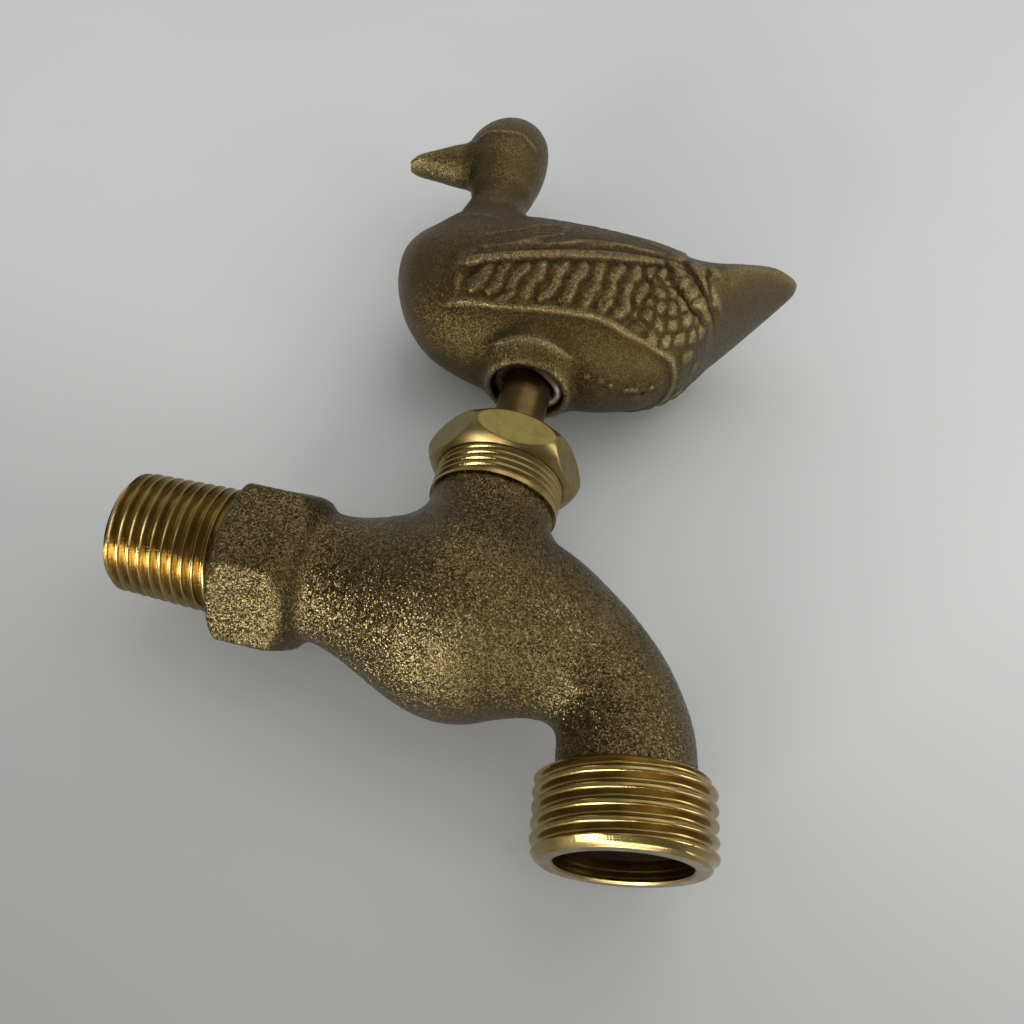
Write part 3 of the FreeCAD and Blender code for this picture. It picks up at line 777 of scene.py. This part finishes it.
def oval_distance(across, half_across, along, half_along):
    """Near distance to an oval from its two half widths."""
    share = np.sqrt((across / half_across) ** 2 + (along / half_along) ** 2)
    slope = np.sqrt((across / half_across**2) ** 2 + (along / half_along**2) ** 2)
    return (share - 1) * share / np.maximum(slope, 1e-3)


def measures_at(line, place_on):
    """The three measures of a line of stations at a place, and how far past its ends it is."""
    measures = (np.interp(place_on, line[:, 0], line[:, k]) for k in (1, 2, 3))
    return *measures, np.maximum(line[0, 0] - place_on, place_on - line[-1, 0])


def body_distance(x, y, z):
    top, bottom, half, past = measures_at(body_line, x)
    return np.maximum(oval_distance(y, half, z - (top + bottom) / 2, (top - bottom) / 2), past)


def head_distance(x, y, z):
    centre, length, half, past = measures_at(head_line, z)
    return np.maximum(oval_distance(x - centre, length, y, half), past)


def bill_distance(x, y, z):
    centre, height, half, past = measures_at(bill_line, x)
    return np.maximum(oval_distance(y, half, z - centre, height), past)


def boss_distance(x, y, z):
    """The round foot under the duck, wider above, with its socket for the stem."""
    reach = np.hypot(x, y)
    foot = (reach - boss_foot_radius - np.clip(z - 46.4, 0, 3.4) * 0.82) * 0.8
    return trimmed(foot, np.maximum(boss_foot - z, z - 60), 0.4)


def duck_distance(x, y, z):
    """The whole plain duck with its socket, its parts joined with hollow rounds."""
    solid = blended(body_distance(x, y, z), head_distance(x, y, z), 4.0)
    solid = blended(solid, bill_distance(x, y, z), 1.2)
    solid = blended(solid, boss_distance(x, y, z), 0.8)
    socket = np.maximum(np.hypot(x, y) - socket_radius, z - socket_top)
    return trimmed(solid, -socket, 0.35)


duck_low = (-40.6, -16.4, 45.4)
duck_high = (49.4, 16.4, 124.9)
duck_points, duck_quads = surface_of(duck_distance, duck_low, duck_high, duck_grid)


def bell(distance, width):
    """A rounded rib: 1 on its line, falling to nothing at about twice its width."""
    return np.exp(-((distance / width) ** 2))


# Heights of the carving over the plain form
wing_rise = 0.40
wing_rib = 0.07
wing_feather_rise = 0.52
wing_feather_bed = 0.40
rump_feather_rise = 0.36
rump_feather_bed = 0.20
rump_groove_depths = (0.50, 0.62, 0.35)
rump_groove_widths = (0.55, 0.6, 0.45)
band_rise = 0.34
back_step = 0.5
barb_rise = 0.04
brow_rise = 0.16


def ease(value, low, high):
    """A soft step from 0 at the low value to 1 at the high one."""
    share = np.clip((value - low) / (high - low), 0, 1)
    return share * share * (3 - 2 * share)


def line_gap(x, z, corners):
    """Distance in the side view to a smooth line through the corners."""
    line = smooth_line(corners, 8)
    gap = np.full(x.shape, np.inf)
    for (px, pz), (dx, dz) in zip(line, np.diff(line, axis=0)):
        t = np.clip(((x - px) * dx + (z - pz) * dz) / (dx * dx + dz * dz), 0, 1)
        gap = np.minimum(gap, np.hypot(x - px - t * dx, z - pz - t * dz))
    return gap


# Side-view lines of the carving: place and level
band_top = [
    (-16.6, 64.5), (-12.0, 65.4), (-7.2, 66.6), (-2.5, 67.9), (2.6, 69.3),
    (8.1, 70.7), (12.6, 71.7), (16.8, 72.0), (20.5, 72.2),
]
band_foot = [
    (-15.7, 63.1), (-10.5, 63.9), (-6.1, 64.9), (-2.1, 66.0),
    (3.0, 67.1), (8.5, 68.2), (14.1, 69.3), (19.3, 70.9),
]
wing_foot = [
    (-19.6, 55.9), (-14.5, 55.9), (-9.0, 55.4), (-3.2, 55.6), (3.1, 56.1), (10.2, 56.4),
    (12.9, 56.1), (15.8, 55.4), (18.5, 55.2), (21.0, 55.1), (23.0, 55.2), (25.3, 55.6),
]
long_feather = [
    (-14.0, 67.4), (-8.2, 69.1), (-4.7, 70.8), (-0.5, 73.5), (0.5, 75.7),
    (-0.2, 77.5), (-2.7, 76.9), (-8.1, 74.0), (-14.0, 71.4),
]
back_feather = [
    (-3.0, 68.6), (0.9, 70.6), (4.0, 72.4), (7.7, 73.5),
    (11.5, 74.0), (15.5, 73.9), (19.4, 73.6), (24.0, 73.6),
]
top_feather = [(-3.0, 81.0), (4.0, 81.6), (10.7, 80.8), (16.2, 78.1), (20.3, 76.3), (24.2, 74.2)]
brow = [(-26.0, 109.6), (-23.6, 111.4), (-19.3, 111.7), (-15.9, 112.2), (-12.5, 110.4)]
rump_grooves = [
    [(20.6, 71.4), (21.3, 70.1), (22.0, 67.9), (23.6, 66.0), (26.0, 64.4), (27.9, 63.5), (29.6, 63.1)],
    [
        (24.3, 73.8), (24.7, 72.9), (26.1, 70.6), (27.7, 68.5),
        (29.1, 67.0), (30.0, 65.9), (31.4, 66.0), (32.9, 66.6),
    ],
    [(28.5, 72.4), (28.7, 71.6), (29.5, 69.3), (30.4, 67.0)],
]
# Wing feathers from front to back: upper tip, lower tip and half width
wing_feathers = [
    ((-11.3, 64.0), (-14.0, 57.4), 1.75),
    ((-8.1, 64.4), (-10.9, 57.5), 1.65),
    ((-4.6, 65.2), (-7.4, 58.1), 1.65),
    ((-1.3, 66.0), (-4.0, 58.8), 1.65),
    ((2.3, 66.9), (0.5, 60.9), 1.6),
    ((5.7, 67.7), (4.4, 61.7), 1.6),
    ((9.0, 68.4), (7.9, 62.4), 1.55),
    ((12.3, 69.1), (11.2, 63.0), 1.55),
    ((15.5, 69.6), (14.6, 63.8), 1.45),
    ((-5.4, 58.8), (-8.8, 55.5), 1.2),
    ((-2.3, 60.5), (-5.3, 56.0), 1.5),
    ((1.9, 63.4), (-0.7, 57.3), 1.5),
    ((5.3, 63.5), (2.9, 57.3), 1.6),
    ((8.9, 63.5), (6.6, 56.8), 1.6),
    ((12.0, 64.3), (10.0, 58.5), 1.5),
    ((15.2, 64.6), (13.6, 59.6), 1.3),
    ((12.1, 60.6), (10.2, 56.9), 1.2),
    ((15.3, 61.0), (13.0, 57.3), 1.2),
    ((17.6, 65.7), (16.8, 61.3), 1.15),
    ((19.9, 67.6), (19.1, 62.9), 1.1),
    ((18.6, 70.2), (17.8, 66.6), 1.1),
]
# Small feathers of the rump: place and level
rump_feathers = [
    (16.0, 59.1), (17.5, 61.1), (19.0, 61.4), (20.8, 63.4), (22.9, 64.4), (19.3, 59.3), (21.3, 61.1),
    (23.3, 61.9), (25.0, 63.2), (21.8, 58.6), (24.1, 59.5), (26.2, 61.3), (23.6, 57.2), (25.9, 58.2),
    (28.1, 60.1), (30.0, 61.8), (18.0, 57.0), (20.6, 56.6), (28.0, 58.3), (22.6, 67.0), (21.2, 68.9),
    (24.6, 67.4), (23.4, 69.6), (26.4, 66.4), (28.3, 65.2), (31.0, 61.0),
]
# Casting faults: place, level and height or depth
flash_spots = [
    (10.6, 48.9, 0.3), (13.3, 49.1, 0.2), (15.4, 49.3, 0.2), (18.3, 50.2, 0.35),
    (19.2, 50.6, 0.4), (20.0, 50.9, 0.35), (23.0, 52.6, 0.4),
]
pits = [(3.6, 62.9, 0.6), (21.6, 51.6, 0.7)]


def feather_height(x, z, top, low, half_width):
    """Share of one wing feather's height: it rises slowly from its front edge and falls
    steeply behind its crest."""
    middle = ((top[0] + low[0]) / 2, (top[1] + low[1]) / 2)
    length = math.hypot(top[0] - low[0], top[1] - low[1])
    way = ((low[0] - top[0]) / length, (low[1] - top[1]) / length)
    along = ((x - middle[0]) * way[0] + (z - middle[1]) * way[1]) / (length / 2)
    across = ((x - middle[0]) * -way[1] + (z - middle[1]) * way[0]) / half_width
    outline = np.sqrt(np.clip(1 - np.abs(along) ** 2.6, 0, 1))
    share = across / np.maximum(outline, 0.05)
    front = np.sin(np.clip((share + 1) / 1.5, 0, 1) * math.pi / 2)
    back = np.cos(np.clip((share - 0.5) / 0.5, 0, 1) * math.pi / 2)
    return np.where(share < 0.5, front, back) * np.sqrt(outline)


def feather_relief(x, y, z):
    """Height of the carving above the plain form, the same on both sides. Its lines are
    first bent a little, so that no two feathers are quite alike."""
    flat_x, flat_z = x, z
    x = x + 0.28 * np.sin(0.9 * z + 0.5 * x) + 0.07 * np.sin(2.3 * z - 1.4 * x)
    z = z + 0.24 * np.sin(0.8 * flat_x - 0.5 * z) + 0.07 * np.sin(2.1 * flat_x + 1.7 * z)
    top_level = np.interp(flat_x, *zip(*band_top))
    foot_level = np.interp(flat_x, *zip(*band_foot))
    wing_level = np.interp(flat_x, *zip(*wing_foot))
    on_wing = ease(flat_x, -20.0, -15.0) * ease(33.0 - flat_x, 0, 5.0)
    above = flat_z - wing_level
    height = wing_rise * ease(above, -0.6, 0.1) * on_wing * ease(top_level + 4 - z, 0, 4)
    height += wing_rib * bell(above - 0.3, 0.6) * on_wing * ease(flat_x, -8, 2)
    panel = ease(x, -19.5, -14.0) * ease(foot_level - flat_z, -0.3, 0.3) * ease(above, 0.0, 2.4)
    feathers = np.zeros_like(x)
    for top, low, half_width in wing_feathers:
        near = (np.abs(x - (top[0] + low[0]) / 2) < 4.5) & (np.abs(z - (top[1] + low[1]) / 2) < 5)
        high = feather_height(x[near], z[near], top, low, half_width * 1.3)
        feathers[near] = np.maximum(feathers[near], high)
    height += (wing_feather_rise * feathers - wing_feather_bed) * panel * ease(21.0 - x, 0, 3.0)
    first = np.full(x.shape, 9.0)
    second = np.full(x.shape, 9.0)
    for place_x, level in rump_feathers:
        start = np.argmin((x - place_x) ** 2 + (z - level) ** 2 + 100 * (y > 0.5))
        far = np.hypot(np.hypot(x - x[start], z - z[start]), np.abs(y) - abs(y[start]))
        second = np.minimum(second, np.maximum(first, far))
        first = np.minimum(first, far)
    cell = np.clip(1.15 - (first / 1.7) ** 2, 0, 1)
    cell = cell * np.clip((second - first) / 1.5, 0.15, 1) ** 0.5
    on_rump = ease(x, 15.0, 18.5) * ease(32.5 - x, 0, 3.0) * ease(z - wing_level, -0.2, 1.0)
    height += (rump_feather_rise * cell - rump_feather_bed) * on_rump * ease(top_level - z, 0, 1.0)
    share = (flat_z - foot_level) / np.maximum(top_level - foot_level, 0.3)
    band = ease(share, -0.10, 0.18) * ease(1.25 - share, 0, 0.5)
    height += band_rise * band * ease(x, -17.5, -13.5) * ease(22.5 - x, 0, 3.5)
    for groove, depth, width in zip(rump_grooves, rump_groove_depths, rump_groove_widths):
        height -= depth * bell(line_gap(x, z, groove), width)
        ridge = [(corner_x + 1.6, level + 0.9) for corner_x, level in groove]
        height += 0.3 * depth * bell(line_gap(x, z, ridge), 1.1)
    for feather, tall in ((long_feather, 0.13), (back_feather, 0.17), (top_feather, 0.13)):
        height += tall * bell(line_gap(flat_x, flat_z, feather), 0.40)
    wing_top = ease(z, top_level + 0.6, top_level + 2.4) * ease(25.0 - flat_x, 0, 1.2)
    height += back_step * wing_top * ease(x, -12, -4)
    barbs = np.sin((z - 0.32 * x) * 5.2) * ease(z, top_level + 1.5, top_level + 3.0)
    height += barb_rise * barbs * ease(23.0 - x, 0, 3.0) * ease(x, -12, -8)
    height -= 0.5 * bell(np.hypot(x + 15.3, z - 62.2), 1.5)
    height += 0.35 * bell(np.hypot(x + 16.4, (z - 59.4) * 0.5), 0.9)
    lumpy = np.sin(3.1 * x + 1.3 * z) * np.sin(2.7 * z - 1.1 * x) + np.sin(5.3 * x - 2 * z) / 2
    height += 0.035 * lumpy * on_wing * ease(z - wing_level, 0, 1) * ease(top_level - z, -0.5, 0.5)
    height += brow_rise * bell(line_gap(flat_x, flat_z, brow), 0.5) * (x > -27.5) * (z > 100)
    return height


def small_faults(x, y, z):
    """Flash left on the belly and two pits in the casting, on the near side only."""
    height = np.zeros_like(x)
    spots = [(*spot, 0.45) for spot in flash_spots]
    spots += [(px, pz, -deep, 0.40) for px, pz, deep in pits]
    for place_x, level, tall, width in spots:
        start = np.argmin((x - place_x) ** 2 + (z - level) ** 2 + 100 * (y > 0.5))
        far = np.hypot(np.hypot(x - x[start], z - z[start]), y - y[start])
        height += tall * bell(far, width)
    return height


def normals_of(points, quads):
    """Each point's way outwards, from the faces round it."""
    a, b, c, d = (points[quads[:, k]] for k in range(4))
    face = np.cross(c - a, d - b)
    total = np.zeros_like(points)
    for k in range(4):
        np.add.at(total, quads[:, k], face)
    return total / np.maximum(np.linalg.norm(total, axis=1, keepdims=True), 1e-9)


def wear_and_shade_of(points, quads, normals, rounds=14):
    """How far each point stands out from its neighbourhood, from 0 in hollows to 1 on ridges."""
    smooth = points.copy()
    corners = quads.ravel()
    count = np.bincount(corners, minlength=len(points))[:, None]
    for _ in range(rounds):
        middle = np.repeat(smooth[quads].mean(axis=1), 4, axis=0)
        total = [np.bincount(corners, middle[:, k], len(points)) for k in range(3)]
        smooth = np.stack(total, 1) / np.maximum(count, 1)
    proud = ((points - smooth) * normals).sum(1)
    return np.clip(0.5 + proud / 0.36, 0, 1)


duck_normals = normals_of(duck_points, duck_quads)
px, py, pz = duck_points.astype(float).T
relief = feather_relief(px, py, pz)
side = np.abs(duck_normals[:, 1])
facing_side = ease(side, 0.12, 0.5) * ease(np.hypot(px, py), 8.5, 11.5)
facing_side = np.where(pz > 100, ease(side, 0.12, 0.5), facing_side)
facing_side = np.where((px > 20) & (pz < 66), ease(side, -0.2, 0.1), facing_side)
relief = relief * facing_side + small_faults(px, py, pz)
duck_points = duck_points + duck_normals * relief[:, None]
duck_wear_and_shade = wear_and_shade_of(duck_points, duck_quads, normals_of(duck_points, duck_quads))
duck_points = duck_points + chance.normal(0, duck_scatter, duck_points.shape)

duck_bronze, tree, surface = finish_of("duck_bronze")
grain = place(tree, "Group", {"Grains per metre": 6400.0, "Facing": 0.6}, node_tree=sand_grain)
# Ridges are rubbed to bare bronze, which is wear; hollows get painted shade, a darker tone where shade
# falls among the feathers
wear_and_shade = place(tree, "Attribute", attribute_name="wear_and_shade").outputs["Fac"]
worn = varied(tree, wear_and_shade, from_low=0.52, from_high=0.95)
hollow_shade = varied(tree, wear_and_shade, high=0.8, from_low=0.46, from_high=-0.1)
spread = place(tree, "Math", {0: grain.outputs["Grain"], 1: 2.0}, operation="POWER").outputs[0]
tone = mixed(tree, spread, (0.052, 0.034, 0.011, 1), (0.13, 0.092, 0.032, 1))
tone = mixed(tree, hollow_shade, tone, (0.036, 0.025, 0.009, 1))
bare = mixed(tree, spread, (0.12, 0.088, 0.036, 1), (0.42, 0.32, 0.15, 1))
tone = mixed(tree, worn, tone, bare)
rough = varied(tree, grain.outputs["Grain"], 0.48, 0.32)
metal_look(tree, surface, tone, rough, grain.outputs["Normal"])
duck = piece("duck", duck_points, duck_quads, [duck_bronze], "handle")
duck.data.attributes.new("wear_and_shade", "FLOAT", "POINT").data.foreach_set("value", duck_wear_and_shade)
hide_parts("duck_handle")

# Glue bead: clear glue that has set in the socket and locks the duck on the stem. It
# swells down to the socket's mouth on one side.
glue_inner_radius = 4.76
glue_outer_radius = 6.94
glue_foot = 48.0
glue_ceiling = 49.3
glue_swell = 1.3
glue_sag = 0.25
glue_side = math.radians(62)
set_glue, tree, surface = finish_of("set_glue")
where = place(tree, "TexCoord").outputs["Object"]
clouds = soft_spots(tree, 500.0, 3.0)
along = place(tree, "SeparateXYZ", {0: where}).outputs["X"]
thick = varied(tree, along, from_low=stem_axis_x + 0.001, from_high=stem_axis_x + 0.0045)
clear_tone = mixed(tree, clouds, (0.16, 0.085, 0.035, 1), (0.34, 0.24, 0.13, 1))
glue_tone = mixed(tree, thick, (0.022, 0.010, 0.004, 1), clear_tone)
bump = place(tree, "Bump", {"Height": clouds, "Distance": 0.0003}).outputs[0]
feed(tree, surface, {"Base Color": glue_tone, "Normal": bump, "Roughness": 0.25})
feed(tree, surface, {"Transmission Weight": varied(tree, thick, high=0.5)})
feed(tree, surface, {"Specular IOR Level": 0.3, "IOR": 1.5})
glue_steps = 72
glue_rows = 12
angle = round_turn(glue_steps)
swell = np.clip(np.cos(angle - glue_side), 0, 1) ** 1.5
t = np.linspace(0, 1, glue_rows)
low_edge = glue_foot - glue_swell * swell * np.sin(t * math.pi) ** 0.7
low_edge = low_edge - glue_sag * np.sin(t * math.pi)
reach = glue_inner_radius + (glue_outer_radius - glue_inner_radius) * t
glue_points = round_axis(reach, angle, low_edge)
top_reach = np.array([glue_outer_radius, glue_inner_radius])
glue_top = round_axis(top_reach, angle, np.array(glue_ceiling))
glue_points = np.concatenate([glue_points, glue_top], axis=1)
rows = glue_points.shape[1]
i, j = np.meshgrid(np.arange(glue_steps), np.arange(rows), indexing="ij")
after = (i + 1) % glue_steps
up = (j + 1) % rows
glue_faces = np.stack([i * rows + j, i * rows + up, after * rows + up, after * rows + j], -1)
glue = piece("glue", glue_points.reshape(-1, 3), glue_faces.reshape(-1, 4), [set_glue], "handle", 50)
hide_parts("glue_bead")

# Table: the pale board that the tap lies on, seen from above. Painted shade darkens it
# towards the foot of the picture, in place of light that falls off there, and it is clear from behind.
table_level = 0.0175
table_corners = [(-0.9, -0.9), (1.0, -0.9), (1.0, 0.9), (-0.9, 0.9)]
table = bpy.data.meshes.new("table")
table.from_pydata([(x, table_level, z) for x, z in table_corners], [], [(0, 1, 2, 3)])
table_board = in_scene("table", table)
pale_board, tree, surface = finish_of("pale_board")
where = place(tree, "TexCoord").outputs["Object"]
mottle = soft_spots(tree, 14.0, 5.0)
tone = mixed(tree, mottle, (0.535, 0.54, 0.525, 1), (0.57, 0.575, 0.56, 1))
# Painted shade: the board's tone falls to a darker grey towards the foot of the picture
slant = place(tree, "VectorMath", {0: where, 1: (0.2, 0.0, 1.0)}, operation="DOT_PRODUCT")
painted_shade_span = {"Value": slant.outputs["Value"], "From Min": 0.09, "From Max": -0.11}
painted_shade_share = place(tree, "MapRange", painted_shade_span, interpolation_type="SMOOTHSTEP").outputs[0]
tone = mixed(tree, painted_shade_share, tone, (0.275, 0.279, 0.268, 1))
feed(tree, surface, {"Base Color": tone, "Roughness": 0.55})
clear = place(tree, "BsdfTransparent")
side = place(tree, "NewGeometry").outputs["Backfacing"]
shown = place(tree, "MixShader", {0: side, 1: surface.outputs[0], 2: clear.outputs[0]})
feed(tree, tree.nodes["Material Output"], {"Surface": shown.outputs[0]})
table.materials.append(pale_board)

# Light: a wide soft lamp above, a strong one low along the table from below the tap, a
# small one near the camera's side and one from the right. The room lights evenly from all
# round and is seen as a grey that is paler above.
middle = Vector((stem_axis_x + 0.005, 0, 0.035))
# Way from the tap's middle, distance, width, height and power
lamps = {
    "top_light": ((0.34, -0.80, 0.52), 1.1, 1.20, 1.20, 4.2),
    "low_light": ((0.03, -0.09, -0.99), 1.3, 2.00, 0.31, 38.0),
    "near_light": ((-0.10, -0.85, -0.50), 1.0, 0.30, 0.07, 0.20),
    "side_light": ((0.92, -0.24, -0.18), 0.7, 0.40, 0.30, 1.7),
}
for name, (way, away, wide, high, power) in lamps.items():
    lamp = bpy.data.lights.new(name, "AREA")
    lamp.shape = "RECTANGLE"
    lamp.size = wide
    lamp.size_y = high
    lamp.energy = power
    holder = in_scene(name, lamp)
    holder.location = middle + Vector(way).normalized() * away
    out_of = (holder.location - middle).normalized()
    level = Vector((0, 0, 1)).cross(out_of).normalized()
    turn = Matrix((level, out_of.cross(level), out_of)).transposed()
    holder.rotation_euler = turn.to_euler()

room = bpy.data.worlds.new("room")
room.use_nodes = True
tree = room.node_tree
tree.nodes.clear()
rays = place(tree, "LightPath")
seen = rays.outputs["Is Camera Ray"]
for kind in ("Is Transmission Ray", "Is Glossy Ray"):
    seen = place(tree, "Math", {0: seen, 1: rays.outputs[kind]}, operation="MAXIMUM").outputs[0]
way = place(tree, "SeparateXYZ", {0: place(tree, "TexCoord").outputs["Generated"]})
upward = varied(tree, way.outputs["Z"], from_low=-0.8, from_high=0.7)
backdrop = mixed(tree, upward, (0.22, 0.22, 0.215, 1), (0.60, 0.605, 0.60, 1))
dimmed = varied(tree, rays.outputs["Is Glossy Ray"], 1.0, 0.78)
shown = place(tree, "Background", {"Color": backdrop, "Strength": dimmed})
lit = place(tree, "Background", {"Color": (0.97, 0.985, 1.0, 1), "Strength": 0.60})
mix = place(tree, "MixShader", {0: seen, 1: lit.outputs[0], 2: shown.outputs[0]})
place(tree, "OutputWorld", {"Surface": mix.outputs[0]})
bpy.context.scene.world = room

# Camera: over the table on the outlet's side, where the camera fitted to the photograph
# stands. The three ways are the picture's right, its down and the view ahead.
camera = bpy.data.cameras.new("camera")
camera.sensor_width = 36.0
camera.lens = 32.34
eye = in_scene("camera", camera)
right = Vector((0.97362, -0.03741, 0.22507))
down = Vector((0.20935, 0.53865, -0.81610))
ahead = Vector((-0.09070, 0.84170, 0.53228))
turn = Matrix((right, -down, -ahead)).transposed().to_4x4()
eye.matrix_world = Matrix.Translation((stem_axis_x + 0.01794, -0.13433, -0.06556)) @ turn
bpy.context.scene.camera = eye
bpy.context.scene.view_settings.view_transform = "Standard"
